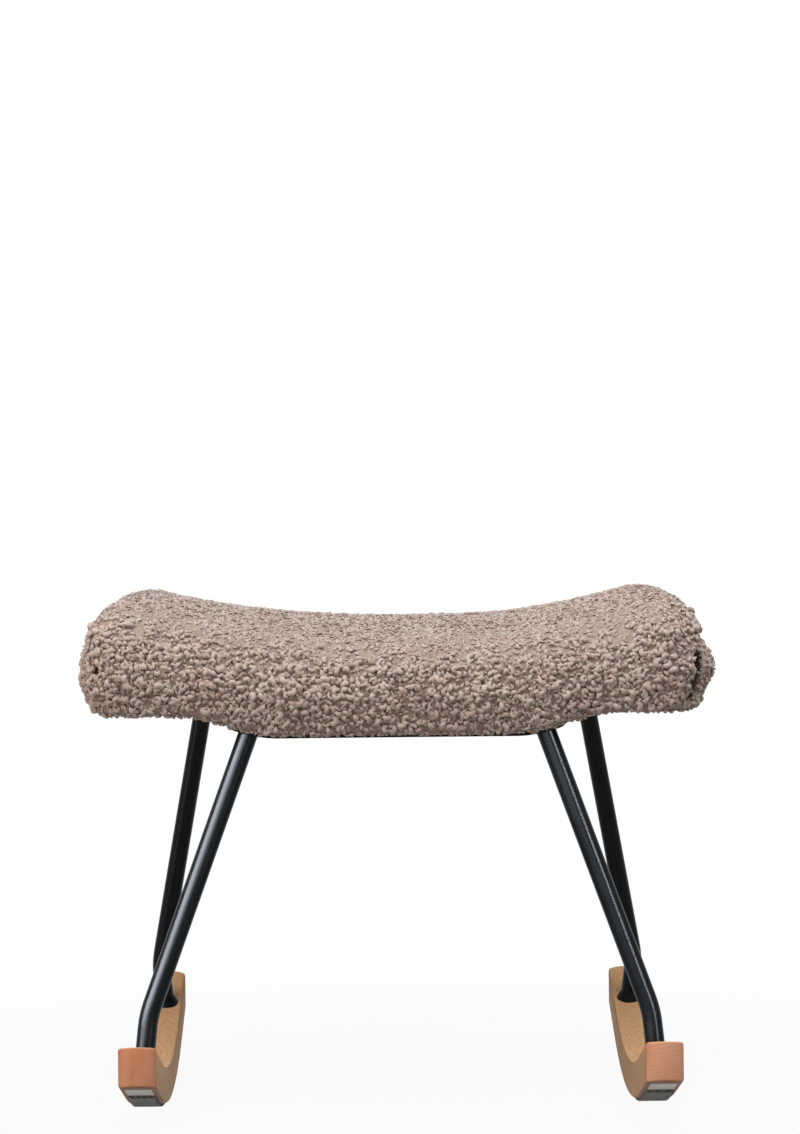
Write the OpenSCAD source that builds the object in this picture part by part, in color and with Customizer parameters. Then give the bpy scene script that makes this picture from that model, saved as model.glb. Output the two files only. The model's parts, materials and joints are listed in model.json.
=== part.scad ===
// Rocking footstool: a saddle-shaped upholstered seat on two pairs of bent steel legs,
// which stand in a left and a right wooden rocker. Millimetres, +Z up.
// The origin is the middle of the floor area under the stool. The narrow leg pair faces -Y.

/* [Seat] */
// Width of the upholstered seat, side to side
seat_w = 572; // [530:2:600]
// Depth of the upholstered seat, front to back
seat_d = 396; // [360:2:430]
// Height of the side of the seat at mid width
seat_side_h = 88; // [74:1:96]
// Rise of the top from the front edge to the middle of the depth
seat_crown = 12; // [4:1:18]
// Radius of the dished top, seen from the front
top_r = 1120; // [950:10:1600]
// Rise of the underside from the middle to the ends
under_rise = 19; // [8:1:24]
// Half width of the flat middle of the underside
under_flat = 110; // [100:1:125]
// Corner radius of the seat seen from above
seat_corner_r = 42; // [34:1:60]
// How far the rounded side draws in up to the top
top_in = 40; // [24:1:44]
// How far the rounded side would draw in below the underside
under_in = 31; // [22:1:38]
// Height of the widest line of the side, as a share of its height
widest = 0.42; // [0.35:0.01:0.55]
// How far each side pulls in between its corners
side_pull = 3; // [0:0.5:5]
// Thickness of the covering fabric
cover_t = 3; // [2:0.5:4]
// Thickness of the seat board
board_t = 12; // [9:1:15]

/* [Legs] */
// Outer diameter of the leg tube
tube_d = 18; // [16:0.5:22]
// Wall thickness of the leg tube
tube_wall = 1.5; // [1.2:0.1:2]
// Bend radius of the legs, on the centre line
bend_r = 90; // [70:5:110]
// Half distance between the tops of the front legs
front_top_x = 136; // [125:1:150]
// Half distance between the tops of the rear legs
rear_top_x = 191; // [184:1:198]
// Distance of both leg pairs from the middle at the top
leg_top_y = 146; // [135:1:152]
// Height of the bend in the legs
bend_z = 105; // [98:1:112]
// Thickness of the mount bars
bar_t = 3; // [2.5:0.5:5]
// Width of the mount bars
bar_w = 36; // [32:1:44]

/* [Rockers] */
// Distance between the middles of the two rockers
track = 471; // [458:1:480]
// Length of a rocker
rocker_l = 454; // [446:2:470]
// Width of a rocker
rocker_w = 34; // [31:1:40]
// Thickness of a rocker
rocker_t = 34; // [32:1:40]
// Radius of the running arc
arc_r = 460; // [440:5:540]
// Half angle of the running arc, in degrees
arc_a = 18; // [16.5:0.5:19]
// Distance of the feet from the middle of a rocker
foot_y = 160; // [150:1:164]
// Width of the glide strip under a rocker
glide_w = 24; // [20:1:28]
// Thickness of the glide strip
glide_t = 3; // [2:0.5:4]

/* [Hidden] */

big = 1000;
over = 1; // how far a cutter runs past what it cuts
glide_flat = 0.4; // felt pressed flat where the stool rests
wood_z = glide_t - glide_flat; // lowest point of the wood
arc_z = wood_z + arc_r; // centre of the running arc
arc_end_y = arc_r * sin(arc_a); // where the arc turns into the straight ends
nose_r = 25; // rounding of the rocker ends, seen from above
glide_end_y = 173; // half length of a glide strip, seen from above

// heights of the stack under the seat: bar, dust cover, turned-in cover, board
bar_z = 357;
dust_t = 0.8;
under_z = bar_z + bar_t + dust_t;
board_z = under_z + cover_t;
under_run = 92; // width of the S-curve at each end of the underside
top_z = under_z + seat_side_h;

// fasteners between the mount bars and the board
screw_x = [-90, 0, 90];
screw_d = 6;
screw_l = 18;
screw_gap = 0.6; // a hole in a bar is this much wider than its screw
head_d = 11;
head_h = 3.3;
socket_d = 4.6;
socket_h = 2;
nut_flange_d = 20;
nut_flange_t = 1.5;
nut_barrel_d = 8;
nut_barrel_h = 9;
bar_over = 16; // bar length past the middle of a leg
bar_corner_r = 10;

// foot of a leg, in the rocker
foot_depth = 20;
insert_h = 26;
insert_hole = 20;
foot_screw_reach = 14; // length of the screw inside the insert
recess_d = 12;
recess_h = 5;
collar_h = 5;
collar_rim = 0.8; // width of the ring round the tube at its top
collar_flare = 3; // and where it meets the wood
collar_skirt = 8; // how far it is drawn below there, before it is cut to the wood
tube_r = tube_d / 2;
joint_lap = 1; // the straights of a leg run this far over the bend
joint_grip = 0.04; // and are this much thicker, so that they join it

// shape of the seat: steps of its mesh
corner_steps = 4;
long_steps = 8;
short_steps = 4;
side_steps = 6;
least_r = 6; // corner radius of the innermost rings
spare = 4; // the rounded form reaches this far below the underside, where it is cut
bend_steps = 12; // steps along each S-curve of the underside
turned_in = 45; // how far the cover reaches in under the board, from its side
open_r = 24; // corner radius of the opening in the cover's underside
open_w = seat_w - 2 * turned_in;
open_d = seat_d - 2 * turned_in;
board_in = 16; // board edge, measured in from the side of the foam
board_r = 30;
board_w = seat_w - 2 * (cover_t + board_in);
board_d = seat_d - 2 * (cover_t + board_in);
dust_lap = 12; // how far the dust cover laps over the turned-in cover
staple_row = 16; // distance of the staples from the opening in the cover
staple_w = 10;
staple_wire = 1.2;
staple_h = 0.8;

function smooth(t) = let (c = max(0, min(1, t))) c * c * (3 - 2 * c);
function under(x) = under_rise * smooth((abs(x) - under_flat) / under_run);
function dish(x) = x * x / (2 * top_r);
function crown(t) = seat_crown * (1 - t * t);

// outline of a rounded rectangle whose sides pull in between the corners
function corner(cx, cy, a0, r) =
    [for (i = [0:corner_steps]) let (a = a0 + 90 * i / corner_steps) [cx + r * cos(a), cy + r * sin(a)]];
function run(p, q, n, pull) =
    [for (i = [1:n - 1]) let (t = i / n) p + (q - p) * t + pull * 4 * t * (1 - t)];
function outline(a, d, r, pull) = concat(
    corner(a - r, d - r, 0, r),
    run([a - r, d], [r - a, d], long_steps, [0, -pull]),
    corner(r - a, d - r, 90, r),
    run([-a, d - r], [-a, r - d], short_steps, [pull, 0]),
    corner(r - a, r - d, 180, r),
    run([r - a, -d], [a - r, -d], long_steps, [0, pull]),
    corner(a - r, r - d, 270, r),
    run([a, r - d], [a, d - r], short_steps, [-pull, 0])
);

// one closed ring of the seat form: inset from the outline, at a side angle from -90 to 90
function ring(a, d, r, inset, side_a, skin) =
    [for (p = outline(a - inset, d - inset, max(r - inset, least_r), side_pull * (1 - inset / d)))
        let (
            low = under_z + skin - spare + under(p[0]),
            high = top_z - skin + dish(p[0]) + crown(p[1] / d),
            mid = low + widest * (high - low)
        )
        [p[0], p[1], mid + (side_a < 0 ? mid - low : high - mid) * sin(side_a)]];

// crowned top and rounded sides of the seat, drawn in by a skin thickness
module rounded_form(skin) {
    a = seat_w / 2 - skin;
    d = seat_d / 2 - skin;
    r = seat_corner_r - skin;
    deep = [0.9, 0.62, 0.32]; // rings across the underside and the top
    rings = concat(
        [for (k = deep) ring(a, d, r, under_in + k * (d - under_in), -90, skin)],
        [for (i = [0:side_steps])
            let (s = -90 + 180 * i / side_steps)
            ring(a, d, r, (s < 0 ? under_in : top_in) * (1 - cos(s)), s, skin)],
        [for (k = [2:-1:0]) ring(a, d, r, top_in + deep[k] * (d - top_in), 90, skin)]
    );
    n = len(rings[0]);
    m = len(rings);
    bottom = [[0, 0, under_z + skin - spare]];
    top = [[0, 0, top_z - skin + seat_crown]];
    points = concat([for (one = rings) each one], bottom, top);
    walls = [for (j = [0:m - 2], i = [0:n - 1])
        let (i2 = (i + 1) % n)
        each [
            [j * n + i, (j + 1) * n + i, (j + 1) * n + i2],
            [j * n + i, (j + 1) * n + i2, j * n + i2]
        ]];
    caps = [for (i = [0:n - 1])
        let (i2 = (i + 1) % n)
        each [[m * n, i, i2], [m * n + 1, (m - 1) * n + i2, (m - 1) * n + i]]];
    polyhedron(points = points, faces = concat(walls, caps), convexity = 6);
}

// flat outline with rounded corners, centred
module rounded(w, d, r) {
    square([w - 2 * r, d], center = true);
    square([w, d - 2 * r], center = true);
    for (x = [-1, 1], y = [-1, 1])
        translate([x * (w / 2 - r), y * (d / 2 - r)])
            circle(r = r, $fn = 48);
}

// places along X where the underside changes slope, out to a half width
function turns(half) =
    [for (i = [0:bend_steps]) let (x = under_flat + under_run * i / bend_steps) if (x < half) x];
function stations(half) =
    let (t = turns(half)) concat([-half], [for (i = [len(t) - 1:-1:0]) -t[i]], t, [half]);

// layer that follows the underside of the seat, from a low to a high level
module curved_layer(half_w, depth, low, high) {
    xs = stations(half_w);
    rotate([90, 0, 0])
        linear_extrude(height = depth, center = true)
            polygon(concat(
                [for (x = xs) [x, low + under(x)]],
                [for (i = [len(xs) - 1:-1:0]) [xs[i], high + under(xs[i])]]
            ));
}

// the rounded form, cut to the shape of the underside
module seat_form(skin) {
    intersection() {
        rounded_form(skin);
        curved_layer(seat_w, 2 * seat_d, under_z + skin, big);
    }
}

// the board without its holes, and as far below its underside as asked
module board_blank(below) {
    intersection() {
        curved_layer(board_w / 2, board_d, board_z - below, board_z + board_t);
        linear_extrude(height = big)
            rounded(board_w, board_d, board_r);
    }
}

module seat_cover() {
    color("#a08c80")
        difference() {
            seat_form(0);
            seat_form(cover_t);
            linear_extrude(height = board_z + under_rise + over)
                rounded(open_w, open_d, open_r);
        }
}

module seat_foam() {
    color("#e8dcb4")
        difference() {
            seat_form(cover_t);
            board_blank(board_t);
        }
}

module at_seat_screws() {
    for (x = screw_x, y = [-leg_top_y, leg_top_y])
        translate([x, y, 0])
            children();
}

module seat_board() {
    color("#cfa878")
        difference() {
            board_blank(0);
            at_seat_screws() {
                translate([0, 0, board_z - over])
                    cylinder(d = nut_barrel_d, h = board_t + 2 * over, $fn = 48);
                translate([0, 0, board_z + board_t - nut_flange_t])
                    cylinder(d = nut_flange_d, h = nut_flange_t + over, $fn = 48);
            }
        }
}

module dust_cover() {
    w = open_w + 2 * dust_lap;
    d = open_d + 2 * dust_lap;
    color("#1c1c1e")
        difference() {
            intersection() {
                curved_layer(w / 2, d, under_z - dust_t, under_z);
                linear_extrude(height = big)
                    rounded(w, d, open_r + dust_lap);
            }
            at_seat_screws()
                translate([0, 0, bar_z])
                    cylinder(d = nut_barrel_d, h = bar_t + dust_t + over, $fn = 48);
        }
}

// one staple crown, lying flat under the turned-in cover
module staple(x, y, turn) {
    slope = atan((under(x + 1) - under(x - 1)) / 2);
    translate([x, y, under_z + under(x) - staple_h / 2])
        rotate([0, -slope, turn])
            cube([staple_w, staple_wire, staple_h], center = true);
}

module cover_staples() {
    row_x = open_w / 2 + staple_row;
    row_y = open_d / 2 + staple_row;
    pitch = 34;
    color("#b9bcc0") {
        for (i = [-6:6], s = [-1, 1])
            staple(i * pitch, s * row_y, 0);
        for (j = [-3:3], s = [-1, 1])
            staple(s * row_x, j * pitch, 90);
    }
}

module tee_nuts() {
    color("#c9c4b0")
        at_seat_screws()
            translate([0, 0, board_z + board_t])
                difference() {
                    union() {
                        translate([0, 0, -nut_flange_t])
                            cylinder(d = nut_flange_d, h = nut_flange_t, $fn = 48);
                        translate([0, 0, -nut_barrel_h])
                            cylinder(d = nut_barrel_d, h = nut_barrel_h, $fn = 48);
                    }
                    translate([0, 0, -nut_barrel_h - over])
                        cylinder(d = screw_d, h = nut_barrel_h + 2 * over, $fn = 48);
                }
}

// cone of a countersunk head, widest at z = 0
module sunk_head() {
    cylinder(d1 = head_d, d2 = screw_d, h = (head_d - screw_d) / 2, $fn = 48);
}

// countersunk screws, flush with the underside of the bars, a hexagon socket in each head
module seat_screws() {
    color("#2b2b2d")
        at_seat_screws()
            translate([0, 0, bar_z])
                difference() {
                    union() {
                        sunk_head();
                        cylinder(d = screw_d, h = screw_l, $fn = 48);
                    }
                    translate([0, 0, -over])
                        cylinder(d = socket_d, h = socket_h + over, $fn = 6);
                }
}

// flat bar formed to the underside of the seat, with the legs welded under its ends
module mount_bar(half_l, y) {
    color("#17181a")
        translate([0, y, 0])
            difference() {
                intersection() {
                    curved_layer(half_l, bar_w, bar_z, bar_z + bar_t);
                    linear_extrude(height = big)
                        rounded(2 * half_l, bar_w, bar_corner_r);
                }
                for (x = screw_x)
                    translate([x, 0, bar_z]) {
                        sunk_head();
                        translate([0, 0, -over])
                            cylinder(d = head_d, h = over, $fn = 48);
                        cylinder(d = screw_d + screw_gap, h = bar_t + over, $fn = 48);
                    }
            }
}

module front_mount_bar() { mount_bar(front_top_x + bar_over, -leg_top_y); }
module rear_mount_bar() { mount_bar(rear_top_x + bar_over, leg_top_y); }

// height of the rocker's upper face at a distance from its middle, on the straight ends
function rocker_top(y) =
    arc_z - (arc_r - rocker_t) * cos(arc_a)
    + (abs(y) - (arc_r - rocker_t) * sin(arc_a)) * tan(arc_a);

// places of a leg's foot, bend and top, for the right side
foot_x = track / 2;
front_foot = [foot_x - 2.5, -foot_y, rocker_top(foot_y)];
rear_foot = [foot_x - 0.5, foot_y, rocker_top(foot_y)];
front_bend = [foot_x - 6.5, -foot_y + 2, bend_z];
rear_bend = [foot_x + 4, foot_y - 2, bend_z];
front_top = [front_top_x, -leg_top_y, bar_z + under(front_top_x)];
rear_top = [rear_top_x, leg_top_y, bar_z + under(rear_top_x)];

function polar(v) = acos(v[2] / norm(v));
function turn(v) = atan2(v[1], v[0]);
function spin_z(a, v) = [v[0] * cos(a) - v[1] * sin(a), v[0] * sin(a) + v[1] * cos(a), v[2]];
function spin_y(a, v) = [v[0] * cos(a) + v[2] * sin(a), v[1], v[2] * cos(a) - v[0] * sin(a)];

// stands its children on a point, with their Z axis along a direction
module along(p, v) {
    translate(p)
        rotate([0, polar(v), turn(v)])
            children();
}

// section of the tube
module tube_ring(grip) {
    difference() {
        circle(r = tube_r + grip, $fn = 64);
        circle(r = tube_r - tube_wall - grip, $fn = 64);
    }
}

module pipe(l) {
    linear_extrude(height = l)
        tube_ring(joint_grip);
}

// bent tube through a foot, a bend and a top; its top end is coped to the bar above it
module leg(foot, bend, top) {
    low = bend - foot;
    high = top - bend;
    local = spin_y(-polar(low), spin_z(-turn(low), high));
    lean = polar(local);
    setback = bend_r * tan(lean / 2);
    color("#17181a")
        difference() {
            along(bend, low)
                rotate([0, 0, turn(local)]) {
                    translate([0, 0, -norm(low) - foot_depth])
                        pipe(norm(low) + foot_depth - setback + joint_lap);
                    translate([bend_r, 0, -setback])
                        rotate([90, 0, 0])
                            rotate([0, 0, 180 - lean])
                                rotate_extrude(angle = lean, $fn = 180)
                                    translate([bend_r, 0])
                                        tube_ring(0);
                    rotate([0, lean, 0])
                        translate([0, 0, setback - joint_lap])
                            pipe(norm(high) - setback + tube_d);
                }
            translate([0, top[1], 0])
                curved_layer(top[0] + bar_over, bar_w, bar_z, bar_z + 2 * tube_d);
        }
}

module front_right_leg() { leg(front_foot, front_bend, front_top); }
module rear_right_leg() { leg(rear_foot, rear_bend, rear_top); }
module front_left_leg() { mirror([1, 0, 0]) front_right_leg(); }
module rear_left_leg() { mirror([1, 0, 0]) rear_right_leg(); }

// flared ring round the tube where it enters the wood
module collar(foot, bend) {
    slope = (collar_flare - collar_rim) / collar_h;
    trim = 4 * tube_d; // side of the block that cuts it to the wood
    color("#141416")
        difference() {
            along(foot, bend - foot)
                difference() {
                    translate([0, 0, -collar_skirt])
                        cylinder(
                            r1 = tube_r + collar_flare + collar_skirt * slope,
                            r2 = tube_r + collar_rim,
                            h = collar_skirt + collar_h,
                            $fn = 64
                        );
                    translate([0, 0, -collar_skirt - over])
                        cylinder(r = tube_r, h = collar_skirt + collar_h + 2 * over, $fn = 64);
                }
            translate(foot)
                rotate([sign(foot[1]) * arc_a, 0, 0])
                    translate([-trim / 2, -trim / 2, -trim])
                        cube(trim);
        }
}

module front_right_collar() { collar(front_foot, front_bend); }
module rear_right_collar() { collar(rear_foot, rear_bend); }
module front_left_collar() { mirror([1, 0, 0]) front_right_collar(); }
module rear_left_collar() { mirror([1, 0, 0]) rear_right_collar(); }

// repeats its children at the four feet, with Z up along the lower end of each leg
module at_feet() {
    for (m = [0, 1])
        mirror([m, 0, 0]) {
            along(front_foot, front_bend - front_foot)
                children();
            along(rear_foot, rear_bend - rear_foot)
                children();
        }
}

module leg_inserts() {
    color("#b9bcc0")
        at_feet()
            translate([0, 0, -foot_depth])
                difference() {
                    cylinder(r = tube_r - tube_wall, h = insert_h, $fn = 64);
                    translate([0, 0, -over])
                        cylinder(d = screw_d, h = insert_hole + over, $fn = 48);
                }
}

// length along the foot axis from the wood's upper face down to the screw's recess
recess_z = -(rocker_t / cos(arc_a)) + recess_h;

// screws up into the legs, their heads in recesses, a hexagon socket in each head
module rocker_screws() {
    color("#b9bcc0")
        at_feet()
            translate([0, 0, recess_z]) {
                cylinder(d = screw_d, h = foot_screw_reach - foot_depth - recess_z, $fn = 48);
                difference() {
                    translate([0, 0, -head_h])
                        cylinder(d = head_d, h = head_h, $fn = 48);
                    translate([0, 0, -head_h - over])
                        cylinder(d = socket_d, h = socket_h + over, $fn = 6);
                }
            }
}

// side view of a curved strip: an arc that runs on straight at both ends
module runner(outer, inner, half_y) {
    straight = half_y / cos(arc_a);
    intersection() {
        union() {
            intersection() {
                difference() {
                    circle(r = outer, $fn = 720);
                    circle(r = inner, $fn = 720);
                }
                polygon([[0, 0], for (s = [-1, 1]) [s * big * sin(arc_a), -big * cos(arc_a)]]);
            }
            for (s = [-1, 1])
                rotate(s * arc_a)
                    translate([s > 0 ? 0 : -straight, -outer])
                        square([straight, outer - inner]);
        }
        translate([-half_y, -big])
            square([2 * half_y, big]);
    }
}

module runner_solid(outer, inner, half_y, w) {
    translate([0, 0, arc_z])
        rotate([90, 0, 90])
            linear_extrude(height = w, center = true)
                runner(outer, inner, half_y);
}

module rocker() {
    nose = nose_r - sqrt(nose_r * nose_r - rocker_w * rocker_w / 4);
    intersection() {
        runner_solid(arc_r, arc_r - rocker_t, rocker_l / 2, rocker_w);
        linear_extrude(height = big) {
            square([rocker_w, rocker_l - 2 * nose], center = true);
            for (s = [-1, 1])
                translate([0, s * (rocker_l / 2 - nose_r)])
                    circle(r = nose_r, $fn = 96);
        }
    }
}

module right_rocker() {
    color("#c79a63")
        difference() {
            translate([track / 2, 0, 0])
                rocker();
            for (f = [[front_foot, front_bend], [rear_foot, rear_bend]])
                along(f[0], f[1] - f[0]) {
                    translate([0, 0, -foot_depth])
                        cylinder(r = tube_r, h = foot_depth + tube_d, $fn = 64);
                    translate([0, 0, -2 * rocker_t])
                        cylinder(d = screw_d, h = 2 * rocker_t, $fn = 48);
                    translate([0, 0, recess_z - rocker_t])
                        cylinder(d = recess_d, h = rocker_t, $fn = 48);
                }
        }
}

module left_rocker() { mirror([1, 0, 0]) right_rocker(); }

module right_glide_strip() {
    color("#4b4a4c")
        translate([track / 2, 0, 0])
            difference() {
                runner_solid(arc_r + glide_t, arc_r, glide_end_y, glide_w);
                translate([-glide_w, -glide_end_y, -2 * glide_t])
                    cube([2 * glide_w, 2 * glide_end_y, 2 * glide_t]);
            }
}

module left_glide_strip() { mirror([1, 0, 0]) right_glide_strip(); }

// plain tabs under the front ends, ahead of the glide strips
module end_tabs() {
    tab_l = 38;
    tab_t = 0.6;
    gap = 3; // between a tab and the end of the strip
    start = (glide_end_y + gap - arc_end_y) / cos(arc_a);
    color("#c8c5c0")
        for (s = [-1, 1])
            translate([s * track / 2, 0, arc_z])
                rotate([-arc_a, 0, 0])
                    translate([-glide_w / 2, -start - tab_l, -arc_r - tab_t])
                        cube([glide_w, tab_l, tab_t]);
}

seat_cover();
seat_foam();
seat_board();
dust_cover();
cover_staples();
tee_nuts();
front_mount_bar();
rear_mount_bar();
seat_screws();
front_left_leg();
front_right_leg();
rear_left_leg();
rear_right_leg();
front_left_collar();
front_right_collar();
rear_left_collar();
rear_right_collar();
leg_inserts();
rocker_screws();
left_rocker();
right_rocker();
left_glide_strip();
right_glide_strip();
end_tabs();
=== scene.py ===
import bpy
import json
import math
import random
from mathutils import Vector, Matrix

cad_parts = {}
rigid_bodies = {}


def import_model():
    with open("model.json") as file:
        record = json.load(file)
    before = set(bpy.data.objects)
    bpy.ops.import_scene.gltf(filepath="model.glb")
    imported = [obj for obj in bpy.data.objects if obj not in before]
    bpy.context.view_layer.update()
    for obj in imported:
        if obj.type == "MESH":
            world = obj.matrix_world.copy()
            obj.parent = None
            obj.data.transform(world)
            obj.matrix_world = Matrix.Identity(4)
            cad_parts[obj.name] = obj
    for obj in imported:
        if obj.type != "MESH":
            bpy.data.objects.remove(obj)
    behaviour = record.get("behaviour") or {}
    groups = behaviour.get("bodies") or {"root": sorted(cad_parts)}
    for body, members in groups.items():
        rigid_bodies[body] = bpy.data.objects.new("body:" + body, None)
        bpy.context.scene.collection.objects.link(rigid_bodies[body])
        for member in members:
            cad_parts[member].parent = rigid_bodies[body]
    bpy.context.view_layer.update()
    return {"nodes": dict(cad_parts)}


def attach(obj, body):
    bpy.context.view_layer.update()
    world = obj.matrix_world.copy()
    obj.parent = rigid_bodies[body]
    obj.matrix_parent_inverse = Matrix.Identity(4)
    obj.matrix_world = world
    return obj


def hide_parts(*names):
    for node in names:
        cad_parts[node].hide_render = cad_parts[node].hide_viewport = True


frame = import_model()
nodes = frame["nodes"]
bpy.ops.object.select_all(action="DESELECT")
print("frame loaded:", len(nodes), "nodes")

mm = 0.001


# camera, lamps and floor

cameraView = {
    "place": (-20.316, -3000.0, 573.733),
    "lens": 99.29,
    "pitch": 0.021884,
    "yaw": -0.008546,
    "roll": -0.009997,
}


def makeCamera(c):
    bpy.ops.object.camera_add()
    camera = bpy.context.object
    camera.name = "photoCamera"
    camera.data.sensor_width = 36
    camera.data.lens = c["lens"]
    camera.matrix_world = (
        Matrix.Translation(Vector(c["place"]) * mm)
        @ Matrix.Rotation(c["yaw"], 4, "Z")
        @ Matrix.Rotation(math.pi / 2 - c["pitch"], 4, "X")
        @ Matrix.Rotation(c["roll"], 4, "Z")
    )
    bpy.context.scene.camera = camera


makeCamera(cameraView)


def linear(code, alpha=1.0):
    def one(c):
        return c / 12.92 if c <= 0.04045 else ((c + 0.055) / 1.055) ** 2.4

    return [one(int(code[i:i + 2], 16) / 255) for i in (1, 3, 5)] + [alpha]


def addNode(tree, kind, settings=None, links=None):
    node = tree.nodes.new(kind)
    for key, value in (settings or {}).items():
        if key in node.bl_rna.properties.keys() and not isinstance(key, int):
            setattr(node, key, value)
        else:
            node.inputs[key].default_value = value
    for key, source in (links or {}).items():
        tree.links.new(source, node.inputs[key])
    return node


lamps = [
    {"name": "overheadSoftbox", "at": (0.1, -0.95, 2.25), "aim": (0, 0, 0.4), "size": (2.6, 2.0),
     "watts": 79, "colour": "#e3f3fd"},
    {"name": "leftSoftbox", "at": (-2.1, -1.3, 1.0), "aim": (0, 0, 0.3), "size": (1.0, 1.9),
     "watts": 22, "colour": "#fffaf4"},
    # fills the back for the other views, and shows in no reflection
    {"name": "rearSoftbox", "at": (0.3, 2.4, 1.1), "aim": (0, 0, 0.3), "size": (1.8, 1.2),
     "watts": 16, "colour": "#fffaf4", "glossy": False},
    # these only show as reflections in the coat of the front legs, and reach nothing else
    {"name": "leftPanel", "at": (-1.75, -1.5, 0.75), "aim": (-0.2, -0.16, 0.25), "size": (2.2, 1.3),
     "watts": 120, "colour": "#eef4ff", "spread": 80, "diffuse": False},
    {"name": "frontPanel", "at": (-0.7, -3.4, 0.7), "aim": (0.1, -0.16, 0.25), "size": (2.8, 1.2),
     "watts": 21, "colour": "#e6f0ff", "spread": 60, "diffuse": False},
    {"name": "leftEdge", "at": (-2.1, -0.95, 0.75), "aim": (-0.2, -0.16, 0.25), "size": (0.16, 1.5),
     "watts": 1.3, "colour": "#eef4ff", "spread": 30, "diffuse": False},
    {"name": "rightStrip", "at": (1.7, -2.0, 0.9), "aim": (0.2, -0.16, 0.3), "size": (0.22, 2.4),
     "watts": 31, "colour": "#e6f0ff", "spread": 60, "diffuse": False},
]


def makeLamp(l):
    aim = Vector(l["aim"]) - Vector(l["at"])
    turn = aim.to_track_quat("-Z", "Y").to_euler()
    bpy.ops.object.light_add(type="AREA", location=l["at"], rotation=turn)
    lamp = bpy.context.object
    lamp.name = l["name"]
    lamp.data.shape = "RECTANGLE"
    lamp.data.size, lamp.data.size_y = l["size"]
    lamp.data.energy = l["watts"]
    lamp.data.color = linear(l["colour"])[:3]
    lamp.data.spread = math.radians(l.get("spread", 180))
    lamp.visible_diffuse = l.get("diffuse", True)
    lamp.visible_glossy = l.get("glossy", True)
    lamp.visible_camera = False
    if not lamp.visible_diffuse:
        lamp.light_linking.receiver_collection = frontLegs


frontLegs = bpy.data.collections.new("frontLegs")
for name in ("front_left_leg", "front_right_leg"):
    frontLegs.objects.link(nodes[name])
for l in lamps:
    makeLamp(l)

studio = {
    "ambient": 0.33,
    "white": 1.0,
    "floorSize": 60,
    "shadowFrom": 0.4,
    "shadowTo": 1.1,
    "glowNear": 0.94,
    "paper": "#a5a4a2",
}


def makeWorld(s):
    world = bpy.data.worlds.new("studioWhite")
    world.use_nodes = True
    tree = world.node_tree
    tree.nodes.clear()
    path = addNode(tree, "ShaderNodeLightPath")
    seen = addNode(tree, "ShaderNodeMath", {"operation": "MAXIMUM"},
                   {0: path.outputs["Is Camera Ray"], 1: path.outputs["Is Glossy Ray"]})
    seen = addNode(tree, "ShaderNodeMath", {"operation": "MAXIMUM"},
                   {0: seen.outputs[0], 1: path.outputs["Is Transmission Ray"]})
    light = addNode(tree, "ShaderNodeBackground", {"Strength": s["ambient"]})
    white = addNode(tree, "ShaderNodeBackground", {"Strength": s["white"]})
    light.inputs["Color"].default_value = (1, 1, 1, 1)
    white.inputs["Color"].default_value = (1, 1, 1, 1)
    mix = addNode(tree, "ShaderNodeMixShader", None,
                  {0: seen.outputs[0], 1: light.outputs[0], 2: white.outputs[0]})
    addNode(tree, "ShaderNodeOutputWorld", None, {"Surface": mix.outputs[0]})
    bpy.context.scene.world = world


makeWorld(studio)
bpy.context.scene.view_settings.view_transform = "Standard"


def makeFloor(s):
    bpy.ops.mesh.primitive_plane_add(size=s["floorSize"])
    floor = bpy.context.object
    floor.name = "paleFloor"
    paper = bpy.data.materials.new("white paper sweep")
    paper.use_nodes = True
    tree = paper.node_tree
    tree.nodes.clear()
    path = addNode(tree, "ShaderNodeLightPath")
    seen = addNode(tree, "ShaderNodeMath", {"operation": "MAXIMUM"},
                   {0: path.outputs["Is Camera Ray"], 1: path.outputs["Is Glossy Ray"]})
    # near the stool a part of the light is left to the paper, so that it keeps the shadow
    place = addNode(tree, "ShaderNodeTexCoord")
    away = addNode(tree, "ShaderNodeVectorMath", {"operation": "LENGTH"}, {0: place.outputs["Object"]})
    part = addNode(tree, "ShaderNodeMapRange", {"From Min": s["shadowFrom"], "From Max": s["shadowTo"],
                                                "To Min": s["glowNear"], "To Max": 1.0},
                   {"Value": away.outputs["Value"]})
    share = addNode(tree, "ShaderNodeMath", {"operation": "MULTIPLY"},
                    {0: seen.outputs[0], 1: part.outputs[0]})
    diffuse = addNode(tree, "ShaderNodeBsdfDiffuse", {"Color": linear(s["paper"])})
    glow = addNode(tree, "ShaderNodeEmission", {"Color": (1, 1, 1, 1), "Strength": 1.0})
    mix = addNode(tree, "ShaderNodeMixShader", None,
                  {0: share.outputs[0], 1: diffuse.outputs[0], 2: glow.outputs[0]})
    addNode(tree, "ShaderNodeOutputMaterial", None, {"Surface": mix.outputs[0]})
    floor.data.materials.append(paper)


makeFloor(studio)
print("camera, lamps and floor made")


def copyOf(name, newName):
    piece = nodes[name].copy()
    piece.data = nodes[name].data.copy()
    piece.name = newName
    piece.parent = None
    for key in list(piece.keys()):
        del piece[key]
    bpy.context.scene.collection.objects.link(piece)
    return piece


def only(piece):
    bpy.ops.object.select_all(action="DESELECT")
    piece.select_set(True)
    bpy.context.view_layer.objects.active = piece


def applyModifier(piece, kind, **settings):
    only(piece)
    modifier = piece.modifiers.new(kind.lower(), kind)
    for key, value in settings.items():
        setattr(modifier, key, value)
    bpy.ops.object.modifier_apply(modifier=modifier.name)


# rockers

rockerValues = {
    "middle": 235.5,
    "width": 34.0,
    "thick": 34.0,
    "length": 454.0,
    "arc": 460.0,
    "angle": 18.0,
    "low": 2.6,
    "nose": 25.0,
    "noseZone": 30.0,
    "edge": 2.4,
    "rim": 2.0,
    "edgeSteps": 3,
    "across": 8,
    "arcSteps": 28,
    "endSteps": 4,
    "noseSteps": 5,
}


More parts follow.
